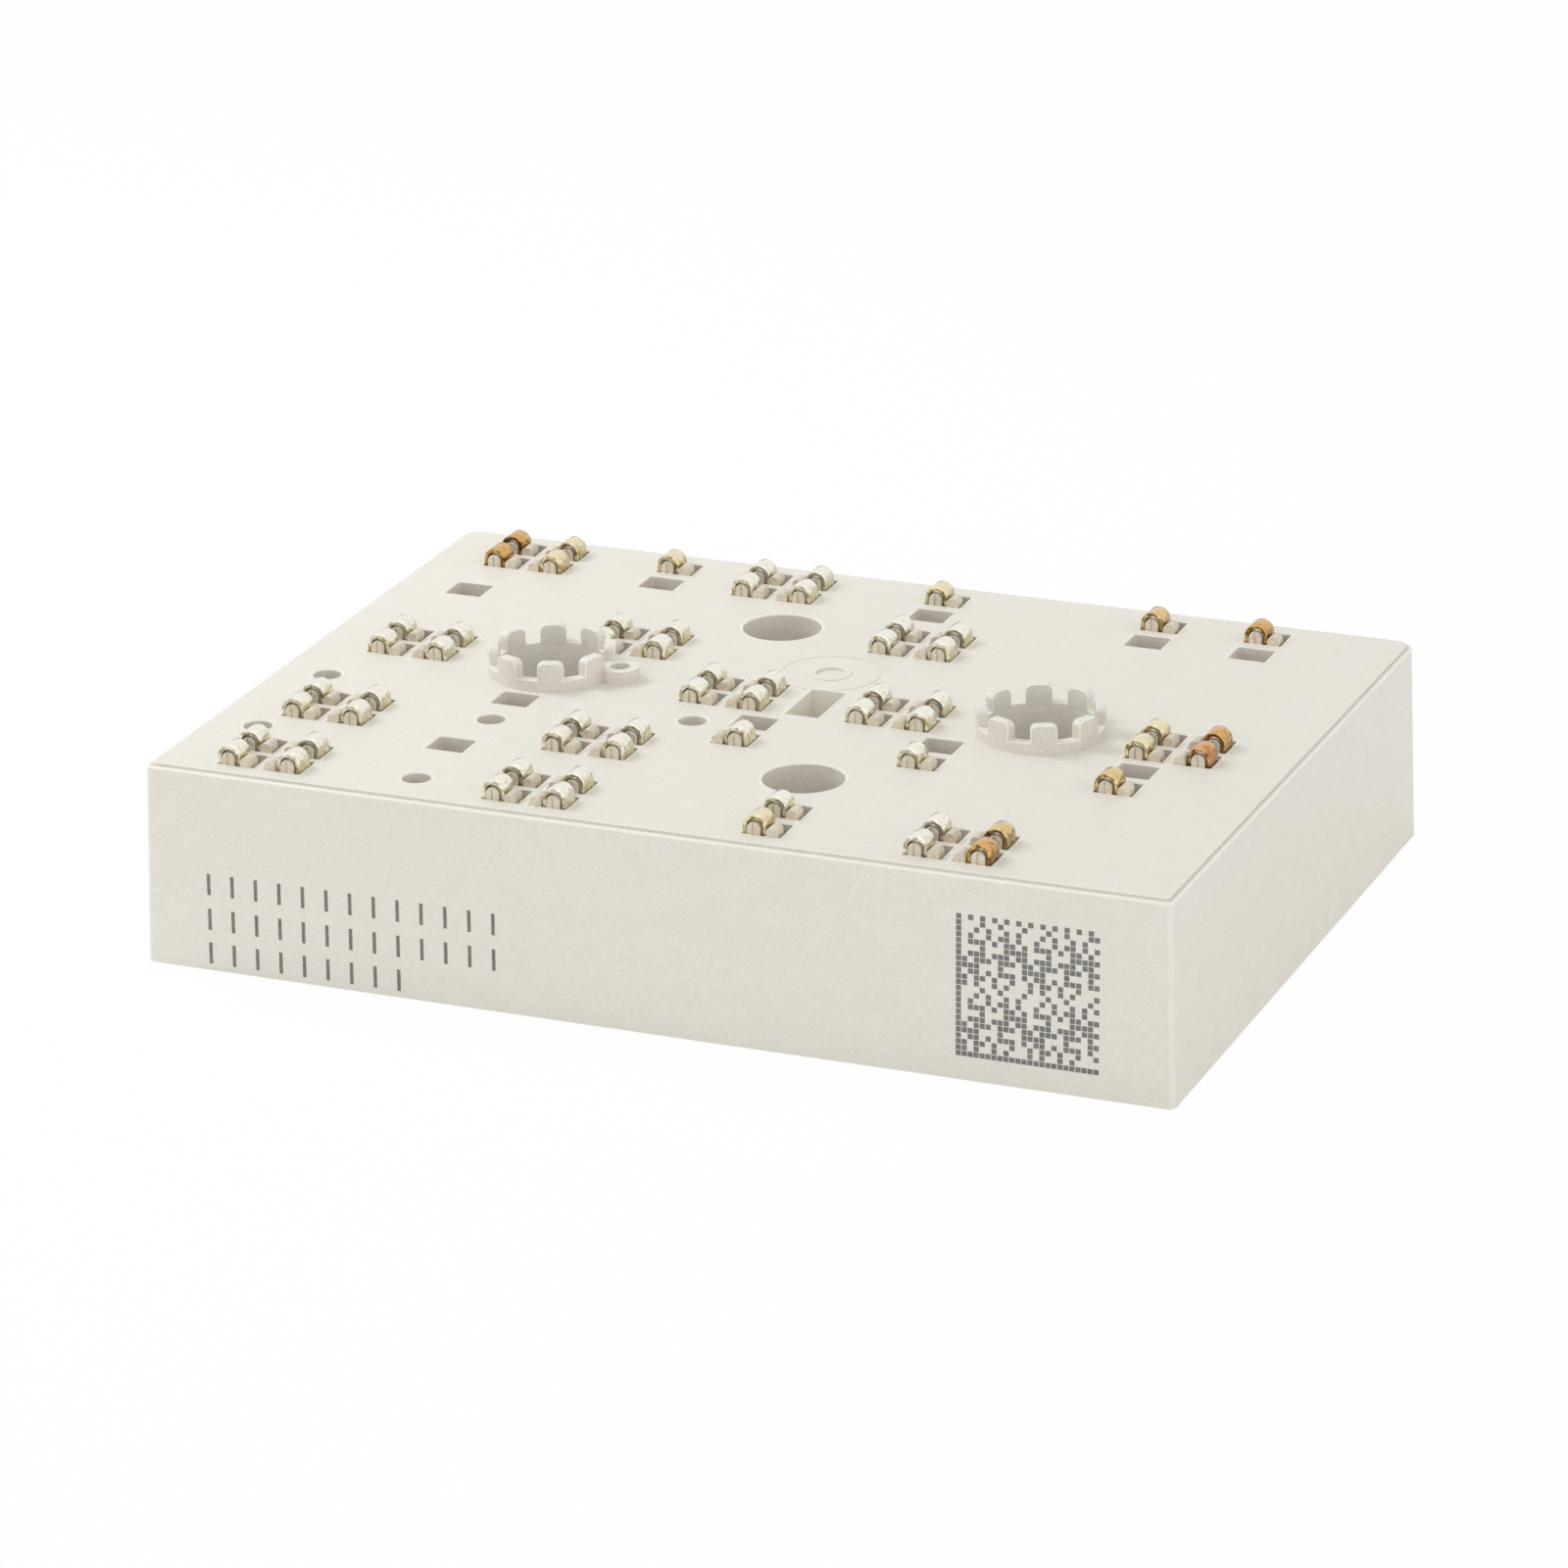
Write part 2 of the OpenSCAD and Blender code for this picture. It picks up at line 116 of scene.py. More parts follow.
# Round wells, peg holes and the small ring lug
WELL_R = 3.1 * MM
WELL_WALL = 1.0 * MM
WELL_FLOOR_Z = 8.0 * MM
PEG_R = 1.1 * MM
PEG_WALL = 0.8 * MM
PEG_FLOOR_Z = 13.0 * MM
PEG_HOLES = [
    (x * MM, y * MM)
    for x, y in ((-36.2, -6.8), (-36.2, -18.9), (-20.1, -11.6), (-20.1, -25.0), (-5.55, -6.7))
]
LUG = Vector((-14.4 * MM, 0))
LUG_R = 1.45 * MM
LUG_BORE_R = 0.8 * MM
LUG_FLOOR_Z = ROOF_Z + 0.6 * MM
LUG_TOP_Z = TOP_Z + 1.1 * MM

# Gate mark: a low disc with a dish in it, inside a fine circle
GATE = Vector((0.4 * MM, 6.65 * MM))
GATE_R = 1.65 * MM
GATE_DISH_R = 1.15 * MM
GATE_H = 0.1 * MM
GATE_RING_R = 3.9 * MM
GATE_RING_W = 0.14 * MM
GATE_RING_T = 0.04 * MM

# Springs
STRIP_T = 0.3 * MM
STRIP_W = 1.8 * MM
STRIP_Y = -0.35 * MM  # from the window's middle to the strip's
STRIP_ROUND = 0.05 * MM
HEAD_H = 1.45 * MM
HEAD_W = 1.85 * MM
HEAD_GAP = 0.04 * MM
HEAD_R = (HEAD_W - STRIP_T) / 2
HEAD_X = WINDOW.x / 2 - HEAD_GAP - HEAD_W / 2
HEAD_Z = TOP_Z + HEAD_H - HEAD_W / 2

# Guides: a grooved finger inside each spring head and a wedge beside it
FINGER_W = 1.05 * MM
FINGER_T = 0.55 * MM
FINGER_H = 0.95 * MM
FINGER_FOOT_Z = TOP_Z - 0.6 * MM
FINGER_CREST = 0.06 * MM  # flat left between the rounded top corners
FINGER_ROUND = 0.08 * MM
GROOVE_W = 0.16 * MM
GROOVE_T = 0.1 * MM
WEDGE_L = 0.9 * MM
WEDGE_W = 1.3 * MM
WEDGE_H = 0.7 * MM
WEDGE_FOOT_Z = TOP_Z - 1.9 * MM
WEDGE_CREST = 0.1 * MM
WEDGE_ROUND = 0.15 * MM
GUIDE_GAP = 0.05 * MM  # between the wedge and the spring
GUIDE_LAP = 0.05 * MM  # how far the guides run into the window's wall

# Fine lips round the windows and holes
LIP_GAP = 0.08 * MM
LIP_W = 0.13 * MM
LIP_H = 0.03 * MM
LIP_FOOT_Z = TOP_Z - 0.01 * MM

# Sides of the round pieces
SMALL_SIDES = 32
SIDES = 48
FINE_SIDES = 64
RING_SIDES = 96


# ---- Selecting and modelling ----

SMOOTH_ANGLE = math.radians(35)
NEAR_HALF = 0.45  # share of an edge's length that a rounding may take at one of its ends
SLANT = 0.3  # below this, a face's normal has next to no part along an axis
FACING = 0.9  # above this, it points along the axis


def deselect_all():
    bpy.ops.object.select_all(action="DESELECT")


def make_active(piece):
    deselect_all()
    piece.select_set(True)
    bpy.context.view_layer.objects.active = piece


def settle(piece):
    """Puts the piece's place into its mesh, so that its object sits at the origin."""
    make_active(piece)
    bpy.ops.object.transform_apply(location=True, rotation=True, scale=True)
    return piece


def add_block(name, low, high):
    """A box between two corners."""
    deselect_all()
    low, high = Vector(low), Vector(high)
    bpy.ops.mesh.primitive_cube_add(size=1, location=(low + high) / 2, scale=high - low)
    piece = bpy.context.object
    piece.name = name
    return settle(piece)


def add_drum(name, centre, radius, z0, z1, sides=SIDES):
    """An upright cylinder."""
    deselect_all()
    bpy.ops.mesh.primitive_cylinder_add(
        vertices=sides, radius=radius, depth=z1 - z0, location=(centre[0], centre[1], (z0 + z1) / 2)
    )
    piece = bpy.context.object
    piece.name = name
    return settle(piece)


def join(name, pieces):
    """Makes one piece of several."""
    make_active(pieces[0])
    for piece in pieces:
        piece.select_set(True)
    bpy.ops.object.join()
    bpy.context.object.name = name
    return bpy.context.object


def combine(piece, tools, operation):
    """Joins the tools, adds them to the piece or cuts them from it, and removes them."""
    tool = join("tool", tools)
    make_active(piece)
    modifier = piece.modifiers.new("combine", "BOOLEAN")
    modifier.object = tool
    modifier.operation = operation
    modifier.solver = "EXACT"
    modifier.use_self = True
    bpy.ops.object.modifier_apply(modifier=modifier.name)
    bpy.data.objects.remove(tool)
    return piece


def copy_of(piece, name, matrix):
    """A copy with its own mesh, moved by the matrix."""
    mesh = piece.data.copy()
    mesh.transform(matrix)
    twin = bpy.data.objects.new(name, mesh)
    bpy.context.scene.collection.objects.link(twin)
    return twin


def clear_selection(piece, kind):
    """Sets what edit mode selects, and leaves the piece in object mode with none of it selected."""
    make_active(piece)
    bpy.ops.object.mode_set(mode="EDIT")
    bpy.ops.mesh.select_mode(type=kind)
    bpy.ops.mesh.select_all(action="DESELECT")
    bpy.ops.object.mode_set(mode="OBJECT")


def edit(action):
    """Runs the action in edit mode, on what is selected."""
    bpy.ops.object.mode_set(mode="EDIT")
    action()
    bpy.ops.object.mode_set(mode="OBJECT")


def edit_edges(piece, chosen, action):
    """Runs the action on the edges whose two ends pass the test."""
    clear_selection(piece, "EDGE")
    points = piece.data.vertices
    for edge in piece.data.edges:
        edge.select = chosen(*(points[i].co for i in edge.vertices))
    edit(action)


def edit_points(piece, chosen, action):
    """Runs the action on the points whose places pass the test."""
    clear_selection(piece, "VERT")
    for point in piece.data.vertices:
        point.select = chosen(point.co)
    edit(action)


def edit_faces(piece, chosen, action):
    """Runs the action on the faces that pass the test."""
    clear_selection(piece, "FACE")
    for face in piece.data.polygons:
        face.select = chosen(face)
    edit(action)


def round_edges(piece, width, segments=2, angle=40, share=None, finish=None):
    """Rounds the sharp edges, each by its share of the width and less beside short edges."""
    clear_selection(piece, "EDGE")
    edit(lambda: bpy.ops.mesh.edges_select_sharp(sharpness=math.radians(angle)))
    mesh = piece.data
    shortest = [1.0] * len(mesh.vertices)
    for edge in mesh.edges:
        i, j = edge.vertices
        length = (mesh.vertices[i].co - mesh.vertices[j].co).length
        shortest[i] = min(shortest[i], length)
        shortest[j] = min(shortest[j], length)
    weights = mesh.attributes.new("bevel_weight_edge", "FLOAT", "EDGE").data
    for edge, weight in zip(mesh.edges, weights):
        if edge.select:
            i, j = edge.vertices
            room = NEAR_HALF * min(shortest[i], shortest[j]) / width
            wanted = share(mesh.vertices[i].co, mesh.vertices[j].co) if share else 1
            weight.value = min(wanted, room)
    modifier = piece.modifiers.new("rounding", "BEVEL")
    modifier.width = width
    modifier.segments = segments
    modifier.limit_method = "WEIGHT"
    modifier.use_clamp_overlap = False
    # The new rounding faces may take their own finish, such as the paler ivory that paints a highlight
    # along edges.
    if finish:
        modifier.material = piece.data.materials.find(finish.name)
    bpy.ops.object.modifier_apply(modifier=modifier.name)
    bpy.ops.object.shade_smooth_by_angle(angle=SMOOTH_ANGLE)
    modifier = piece.modifiers.new("even_faces", "WEIGHTED_NORMAL")
    modifier.keep_sharp = True
    bpy.ops.object.modifier_apply(modifier=modifier.name)
    return piece


def same(a, b, tolerance=0.02 * MM):
    """Whether two lengths are the same to within a tolerance."""
    return abs(a - b) < tolerance


def near(p, centre, radius):
    """Whether a point lies within a radius of an upright line."""
    return (p.xy - Vector(centre)).length < radius


def both_at(z, a, b):
    """Whether both ends of an edge lie at a height."""
    return same(a.z, z) and same(b.z, z)


def bevel(offset, segments):
    """The action that rounds the selected edges."""
    return lambda: bpy.ops.mesh.bevel(offset=offset, segments=segments, affect="EDGES")


def wear(piece, finishes, choose):
    """Gives a piece its finishes, and each face the one chosen for it."""
    piece.data.materials.clear()
    for finish in finishes:
        piece.data.materials.append(finish)
    for face in piece.data.polygons:
        face.material_index = finishes.index(choose(face))


# ---- Materials ----


def linear(code):
    """The linear colour of an sRGB hex code."""
    parts = [int(code[i : i + 2], 16) / 255 for i in (1, 3, 5)]
    return [p / 12.92 if p <= 0.04045 else ((p + 0.055) / 1.055) ** 2.4 for p in parts] + [1]


def per_mm(size):
    """The scale at which a noise texture's features are about this many millimetres wide."""
    return 1 / (size * MM)


def node(tree, kind, inputs=None, **settings):
    """Adds a shader node with its settings, and sets or links its inputs."""
    made = tree.nodes.new("ShaderNode" + kind)
    for name, value in settings.items():
        setattr(made, name, value)
    for name, value in (inputs or {}).items():
        if isinstance(value, bpy.types.NodeSocket):
            tree.links.new(value, made.inputs[name])
        else:
            made.inputs[name].default_value = value
    return made


def new_material(name):
    """A new material, its node tree, and the place on the piece that its patterns read."""
    material = bpy.data.materials.new(name)
    material.use_nodes = True
    tree = material.node_tree
    tree.nodes.clear()
    place = node(tree, "TexCoord").outputs["Object"]
    return material, tree, place


def close_material(tree, shader):
    """Leads the shader to the material's output."""
    node(tree, "OutputMaterial", {"Surface": shader.outputs[0]})


def moulded_pbt(name, dark, light, roughness):
    """Glass-filled PBT, injection moulded: matt ivory with a faint flow mottle and a fine grain."""
    material, tree, place = new_material(name)
    mottle = node(tree, "TexNoise", {"Vector": place, "Scale": per_mm(1.6), "Detail": 4}).outputs["Fac"]
    # The real grain is finer, and is drawn this coarse so that it shows
    grain = node(tree, "TexNoise", {"Vector": place, "Scale": per_mm(0.25), "Detail": 2}).outputs["Fac"]
    share = node(tree, "Math", {0: mottle, 1: 0.3}, operation="MULTIPLY").outputs[0]
    both = node(tree, "Math", {0: grain, 1: 0.7, 2: share}, operation="MULTIPLY_ADD").outputs[0]
    pale = node(tree, "MapRange", {"Value": both, "From Min": 0.35, "From Max": 0.65}).outputs[0]
    colour = node(tree, "MixRGB", {"Fac": pale, "Color1": linear(dark), "Color2": linear(light)})
    gloss = node(
        tree, "MapRange", {"Value": mottle, "To Min": roughness - 0.06, "To Max": roughness + 0.06}
    )
    bump = node(tree, "Bump", {"Strength": 0.08, "Distance": 0.04 * MM, "Height": grain})
    shader = node(
        tree,
        "BsdfPrincipled",
        {
            "Base Color": colour.outputs[0],
            "Roughness": gloss.outputs[0],
            "IOR": 1.55,
            "Normal": bump.outputs[0],
        },
    )
    close_material(tree, shader)
    return material


def spring_metal(name, shaded_flank, lit_crest, roughness, metallic=1, mottle=4):
    """Rolled bronze strip, plated and bent, with tarnish spots: painted highlight on level faces and
    painted shade on upright ones, which darkens the cut edges.
    """
    material, tree, place = new_material(name)
    tarnish = node(tree, "TexNoise", {"Vector": place, "Scale": per_mm(0.4), "Detail": 3}).outputs["Fac"]
    facing = node(tree, "NewGeometry").outputs["Normal"]
    height = node(tree, "SeparateXYZ", {"Vector": facing}).outputs["Z"]
    # How level a face is paints light on the strip: lit where level, shaded where upright.
    painted_light_up = node(tree, "Math", {0: height}, operation="ABSOLUTE").outputs[0]
    spots = node(tree, "Math", {0: tarnish, 1: mottle, 2: -mottle / 2}, operation="MULTIPLY_ADD")
    # This sum is painted light from above plus tarnish spots, not wear.
    worn = node(tree, "Math", {0: painted_light_up, 1: spots.outputs[0]}, operation="ADD").outputs[0]
    painted_light_mix = node(tree, "MapRange", {"Value": worn, "From Min": -0.6, "From Max": 0.7}).outputs[0]
    colour = node(tree, "MixRGB", {"Fac": painted_light_mix, "Color1": linear(shaded_flank), "Color2": linear(lit_crest)})
    gloss = node(
        tree, "MapRange", {"Value": tarnish, "To Min": roughness + 0.06, "To Max": roughness - 0.04}
    )
    # Rolling lines, drawn coarser than they are so that they catch the light
    drawn = node(tree, "Mapping", {"Vector": place, "Scale": (1, 0.12, 1)}).outputs[0]
    lines = node(tree, "TexNoise", {"Vector": drawn, "Scale": per_mm(0.05), "Detail": 1}).outputs["Fac"]
    bump = node(tree, "Bump", {"Strength": 0.15, "Distance": 0.01 * MM, "Height": lines})
    shader = node(
        tree,
        "BsdfPrincipled",
        {
            "Base Color": colour.outputs[0],
            "Metallic": metallic,
            "Roughness": gloss.outputs[0],
            "Normal": bump.outputs[0],
        },
    )
    close_material(tree, shader)
    return material


def rolled_copper():
    """Copper foil bonded to ceramic: satin, with brown oxide clouds."""
    material, tree, place = new_material("rolled_copper")
    clouds = node(tree, "TexNoise", {"Vector": place, "Scale": per_mm(6), "Detail": 5}).outputs["Fac"]
    pale = node(tree, "MapRange", {"Value": clouds, "From Min": 0.35, "From Max": 0.65}).outputs[0]
    colour = node(
        tree, "MixRGB", {"Fac": pale, "Color1": linear("#A8633F"), "Color2": linear("#D08C63")}
    )
    gloss = node(tree, "MapRange", {"Value": clouds, "To Min": 0.45, "To Max": 0.28})
    drawn = node(tree, "Mapping", {"Vector": place, "Scale": (0.05, 1, 1)}).outputs[0]
    lines = node(tree, "TexNoise", {"Vector": drawn, "Scale": per_mm(0.3), "Detail": 2}).outputs["Fac"]
    bump = node(tree, "Bump", {"Strength": 0.1, "Distance": 0.01 * MM, "Height": lines})
    shader = node(
        tree,
        "BsdfPrincipled",
        {
            "Base Color": colour.outputs[0],
            "Metallic": 1,
            "Roughness": gloss.outputs[0],
            "Normal": bump.outputs[0],
        },
    )
    close_material(tree, shader)
    return material


def plain_material(name, dark, light, size, metallic, roughness):
    """A hidden or small piece's finish: two close shades in faint clouds of a size in millimetres."""
    material, tree, place = new_material(name)
    clouds = node(tree, "TexNoise", {"Vector": place, "Scale": per_mm(size), "Detail": 3}).outputs["Fac"]
    pale = node(tree, "MapRange", {"Value": clouds, "From Min": 0.35, "From Max": 0.65}).outputs[0]
    colour = node(tree, "MixRGB", {"Fac": pale, "Color1": linear(dark), "Color2": linear(light)})
    gloss = node(
        tree, "MapRange", {"Value": clouds, "To Min": roughness - 0.05, "To Max": roughness + 0.05}
    )
    bump = node(tree, "Bump", {"Strength": 0.08, "Distance": 0.02 * MM, "Height": clouds})
    shader = node(
        tree,
        "BsdfPrincipled",
        {
            "Base Color": colour.outputs[0],
            "Metallic": metallic,
            "Roughness": gloss.outputs[0],
            "Normal": bump.outputs[0],
        },
    )
    close_material(tree, shader)
    return material


IVORY = moulded_pbt("moulded_ivory_pbt", "#E8E4D9", "#F0ECE2", 0.5)
# The paler ivory on the rounded upright corners of the walls is a painted sheen.
IVORY_CORNER_SHEEN = moulded_pbt("ivory_pbt_painted_corner_sheen", "#EDE9DE", "#F4F0E7", 0.4)
# The darker ivory on the upright faces of the rim's step and the gate mark is painted shade.
IVORY_STEP_SHADE = moulded_pbt("ivory_pbt_painted_step_shade", "#E0D9CC", "#E8E2D7", 0.6)
# The palest ivory on edge roundings, the rim and the lips is a painted highlight.
IVORY_EDGE_HIGHLIGHT = moulded_pbt("ivory_pbt_painted_edge_highlight", "#F8F4E8", "#FCF9F0", 0.3)
# The darker ivory in the windows and holes and on upright faces above the top is painted shade.
IVORY_RECESS_SHADE = moulded_pbt("ivory_pbt_painted_recess_shade", "#DFD8CE", "#E9E3D9", 0.5)
# The darker, pinker ivory of the fingers and wedges in the spring windows is painted shade.
IVORY_GUIDE_SHADE = moulded_pbt("ivory_pbt_guides_painted_shade", "#D0C5B0", "#EADFCE", 0.4)
HOUSING_FINISHES = [IVORY, IVORY_EDGE_HIGHLIGHT, IVORY_RECESS_SHADE, IVORY_STEP_SHADE, IVORY_CORNER_SHEEN]

# Each spring finish: the rolled face and the cut edge of the strip, both with painted light on level
# faces and painted shade on upright ones
SILVERED = (
    spring_metal("silvered_bronze", "#C4B37E", "#EDEADD", 0.18, mottle=3),
    spring_metal("silvered_bronze_cut", "#A89A6C", "#FFFCF0", 0.3, 0.85),
)
PALE_GILT = (
    spring_metal("pale_gilt_bronze", "#AA8B46", "#E6DAB8", 0.18, mottle=3),
    spring_metal("pale_gilt_bronze_cut", "#86723E", "#FFF2CC", 0.3, 0.85),
)
GILT = (
    spring_metal("gilt_bronze", "#80602C", "#DAC08A", 0.18),
    spring_metal("gilt_bronze_cut", "#5C4420", "#F4D69C", 0.3, 0.9),
)
AMBER = (
    spring_metal("heat_tinted_bronze", "#5E3C16", "#D4A866", 0.16, mottle=4.5),
    spring_metal("heat_tinted_bronze_cut", "#4A2C10", "#E4B874", 0.3, 0.9),
)
COPPERY = (
    spring_metal("coppery_bronze", "#643C1C", "#D69C68", 0.16, mottle=4.5),
    spring_metal("coppery_bronze_cut", "#4E2E14", "#ECBC88", 0.3, 0.9),
)
MARK = plain_material("laser_mark", "#73716E", "#85837F", 0.4, 0, 0.6)

CAD_FINISHES = {
    "copper": rolled_copper(),
    "alumina": plain_material("alumina_ceramic", "#E4E4E0", "#F0F0EC", 1.5, 0, 0.5),
    "adhesive": plain_material("silicone_adhesive", "#C4C4C0", "#D2D2CE", 1.0, 0, 0.4),
    "solder": plain_material("solder", "#8E9092", "#B4B6B8", 0.8, 1, 0.45),
    "silicon": plain_material("silicon_chip", "#4C5058", "#6A6E76", 1.2, 0.6, 0.3),
    "sensor_body": plain_material("sensor_body", "#30352C", "#41463C", 0.5, 0, 0.5),
    "bond_wire": plain_material("aluminium_wire", "#B8BABC", "#DADCDE", 0.5, 1, 0.3),
    "gel": plain_material("silicone_gel", "#C4D2D2", "#D6E0E0", 3.0, 0, 0.1),
}


def dress(piece, slot, *materials):
    """Gives a new piece its materials and its body; its slot is not used."""
    worn = piece.data.materials
    for i, material in enumerate(materials):
        if i < len(worn):
            worn[i] = material
        else:
            worn.append(material)
    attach(piece, "root")
    return piece


# ---- Where the springs are ----


def rows(low, high, size):
    """The middles of the one or two things of a size that fill a span."""
    if high - low < 2 * size:
        return [(low + high) / 2]
    return [low + size / 2, high - size / 2]


def spring_places():
    """Each spring node's springs: middle of the window and the side of the head."""
    head_reach = HEAD_X + HEAD_W / 2
    places = {}
    for name in sorted(frame["nodes"]):
        if "spring" not in name:
            continue
        low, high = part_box(name)
        if high.x - low.x > 2 * WINDOW.x:
            columns = [(low.x + head_reach, -1), (high.x - head_reach, 1)]
        elif head_side(frame["nodes"][name]) > 0:
            columns = [(high.x - head_reach, 1)]
        else:
            columns = [(low.x + head_reach, -1)]
        ys = [y - STRIP_Y for y in rows(low.y, high.y, STRIP_W)]
        places[name] = [(x, y, side) for x, side in columns for y in ys]
    return places


def head_side(cad_node):
    """+1 or -1: the side of a spring's shaft that its head stands on."""
    xs = [v.co.x for v in cad_node.data.vertices]
    head = [v.co.x for v in cad_node.data.vertices if v.co.z > TOP_Z]
    return 1 if sum(head) / len(head) > (min(xs) + max(xs)) / 2 else -1


SPRINGS = spring_places()
ALL_SPRINGS = [place for places in SPRINGS.values() for place in places]
SCREWS = [(mounts[side + "_crown_recess"].x, 0) for side in ("left", "right")]
WELLS = [mounts["left_well"].xy, mounts["right_well"].xy]


# ---- Housing ----

HAIR = 0.05 * MM  # slack of the tests for where a face or an edge lies
GATE_REACH = GATE_RING_R + 0.2 * MM  # a circle round the gate mark
GATE_CLEAR = 0.15 * MM  # more than the gate mark's height and depth
GATE_SHARE = 0.3  # how much of the edge rounding the gate's disc gets
RIM_SLOPE = (0.2, 0.95)  # the Z of a normal between upright and level


def round_corners(piece, front_radius, back_radius):
    """Rounds the four upright edges of a block."""
    for side, radius in ((-1, front_radius), (1, back_radius)):
        edit_edges(
            piece,
            lambda a, b: not same(a.z, b.z) and a.y * side > 0 and b.y * side > 0,
            bevel(radius, 6),
        )


def outer_shell():
    """The drafted outer box and its raised top face, with rounded corners."""
    shell = add_block("housing_shell", housing_low, (housing_high.x, housing_high.y, RIM_Z))
    lean = (1 - 2 * DRAFT / FOOT.x, 1 - 2 * DRAFT / FOOT.y, 1)
    edit_faces(
        shell,
        lambda face: face.normal.z > FACING,
        lambda: bpy.ops.transform.resize(value=lean, center_override=(0, 0, 0)),
    )
    round_corners(shell, FRONT_CORNER_R, BACK_CORNER_R)
    edit_edges(shell, lambda a, b: both_at(RIM_Z, a, b), bevel(RIM_ROUND, 4))
    inset = 2 * (DRAFT + RIM_INSET)
    plate = centred_block((0, 0), FOOT.x - inset, FOOT.y - inset, RIM_Z - PAST, TOP_Z)
    round_corners(plate, TOP_FRONT_R, TOP_BACK_R)
    return combine(shell, [plate], "UNION")


def centred_block(centre, length, depth, z0, z1):
    """A box round an upright line."""
    x, y = centre[0], centre[1]
    return add_block(
        "block", (x - length / 2, y - depth / 2, z0), (x + length / 2, y + depth / 2, z1)
    )


def spring_blocks():
    """The middle and the size of each group of windows."""
    for name, places in SPRINGS.items():
        xs = [p[0] for p in places]
        ys = [p[1] for p in places]
        middle = ((min(xs) + max(xs)) / 2, (min(ys) + max(ys)) / 2)
        yield middle, max(xs) - min(xs) + WINDOW.x, max(ys) - min(ys) + WINDOW.y


def empty_windows():
    """Each window that holds no spring: middle, length, depth, floor."""
    for x, y in BLIND_WINDOWS:
        yield (x * MM, y * MM), WINDOW.x, WINDOW.y, BLIND_Z
    yield SLOT, SLOT_L, SLOT_W, SLOT_Z
    singles = [SPRINGS[name][0] for name in sorted(SPRINGS) if name.startswith("single")]
    for (x, _, _), y in zip(singles, SINGLE_NEIGHBOUR_Y):
        yield (x, y * MM), WINDOW.x, WINDOW.y, BLIND_Z


def ring_groove(centre, radius, width, z0, z1):
    """A thin upright ring, to cut a fine circle with."""
    ring = add_drum("ring", centre, radius + width / 2, z0, z1, RING_SIDES)
    core = add_drum("core", centre, radius - width / 2, z0 - PAST, z1 + PAST, RING_SIDES)
    return combine(ring, [core], "DIFFERENCE")


def tooth():
    """One tooth of a crown, on the +X side: straight sides, curved faces, rounded top corners."""
    inner, outer = CROWN_BORE_R - TOOTH_PROUD, CROWN_R + TOOTH_PROUD
    piece = add_block(
        "tooth", (inner, -TOOTH_W / 2, TOOTH_FOOT_Z), (outer, TOOTH_W / 2, CROWN_TOP_Z)
    )
    edit_edges(
        piece,
        lambda a, b: both_at(CROWN_TOP_Z, a, b) and same(a.y, b.y),
        bevel(TOOTH_CORNER_R, 6),
    )

    def slice_across():
        for step in range(1 - TOOTH_SLICES // 2, TOOTH_SLICES // 2):
            bpy.ops.mesh.select_all(action="SELECT")
            bpy.ops.mesh.bisect(plane_co=(0, step * TOOTH_W / TOOTH_SLICES, 0), plane_no=(0, 1, 0))

    edit_faces(piece, lambda face: True, slice_across)
    cuts_mm = {round(v.co.y / MM, 4) for v in piece.data.vertices}
    for y_mm in sorted(cuts_mm):
        y = y_mm * MM
        for radius in (inner, outer):
            sag = math.sqrt(radius**2 - y**2) - radius
            edit_points(
                piece,
                lambda p: same(p.y, y, 0.001 * MM) and same(p.x, radius),
                lambda: bpy.ops.transform.translate(value=(sag, 0, 0)),
            )
    # The upright faces of a tooth take the darker ivory that paints shade on them.
    wear(
        piece,
        [IVORY, IVORY_EDGE_HIGHLIGHT, IVORY_RECESS_SHADE],
        lambda face: IVORY_RECESS_SHADE if abs(face.normal.z) < SLANT else IVORY,
    )
    return round_edges(
        piece,
        TOOTH_ROUND,
        share=lambda a, b: 0 if both_at(TOOTH_FOOT_Z, a, b) else 1,
        finish=IVORY_EDGE_HIGHLIGHT,
    )


def crown_teeth():
    """The teeth of both crowns, which stand on the crowns' rings."""
    pattern = tooth()
    copies = []
    for x, y in SCREWS:
        for k in range(CROWN_TEETH):
            turn = Matrix.Rotation(2 * math.pi * (k + 0.5) / CROWN_TEETH, 4, "Z")
            copies.append(copy_of(pattern, "tooth_copy", Matrix.Translation((x, y, 0)) @ turn))
    bpy.data.objects.remove(pattern)
    teeth = join("crown_teeth", copies)
    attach(teeth, "root")
    return teeth


def cavities():
    """The hollow under the roof, and the seat of the ceramic plate."""
    ceramic_low, ceramic_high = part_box("ceramic_plate")
    seat = ceramic_high.xy - ceramic_low.xy + Vector((2 * SEAT_GAP, 2 * SEAT_GAP))
    return [
        centred_block((0, 0), FOOT.x - 2 * WALL, FOOT.y - 2 * WALL, 0, ROOF_Z),
        centred_block((0, 0), seat.x, seat.y, -PAST, SEAT_Z),
    ]


def shafts():
    """The blocks that the windows are cut in, held within the outer walls."""

    def walls(middle, length, depth, z0):
        length += 2 * SHAFT_WALL
        depth += 2 * SHAFT_WALL
        return centred_block(middle, length, depth, z0, ROOF_Z + LAP)

    blocks = [walls(*block, SHAFT_Z) for block in spring_blocks()]
    blocks += [walls(*window[:3], window[3] - FLOOR_T) for window in empty_windows()]
    inside = centred_block((0, 0), FOOT.x - WALL, FOOT.y - WALL, 0, TOP_Z - LAP)
    return combine(join("shafts", blocks), [inside], "INTERSECT")


